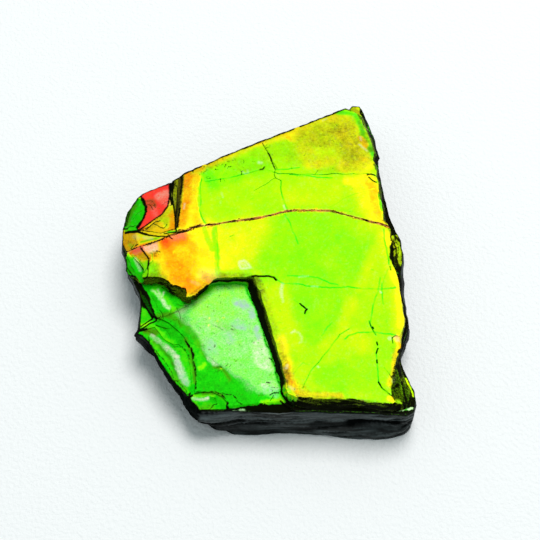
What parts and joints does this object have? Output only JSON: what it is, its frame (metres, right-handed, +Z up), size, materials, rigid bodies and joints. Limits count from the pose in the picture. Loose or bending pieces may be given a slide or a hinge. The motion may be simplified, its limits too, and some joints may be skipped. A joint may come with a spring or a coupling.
{
  "type": "ammolite specimen",
  "caption": "Broken slab of dark shale carrying two sheets of iridescent fossil shell, the upper one broken away at a corner to bare the lower.",
  "frame": {"origin": "under the middle of the slab, on its resting face", "axes": "+Z up through the slab's thickness, out of the shell face; +Y towards the pointed far end, -Y towards the straight near edge"},
  "size_m": [0.0358, 0.0444, 0.0078],
  "materials": {
    "shale": "rough split black-grey shale",
    "lower_nacre": "glossy iridescent shell, milky mint to deep green",
    "upper_nacre": "glossy iridescent shell, lime green to yellow, orange and red"
  },
  "bodies": {
    "root": {"shale_matrix": "shale", "lower_ammolite_sheet": "lower_nacre", "upper_ammolite_sheet": "upper_nacre"}
  },
  "joints": []
}
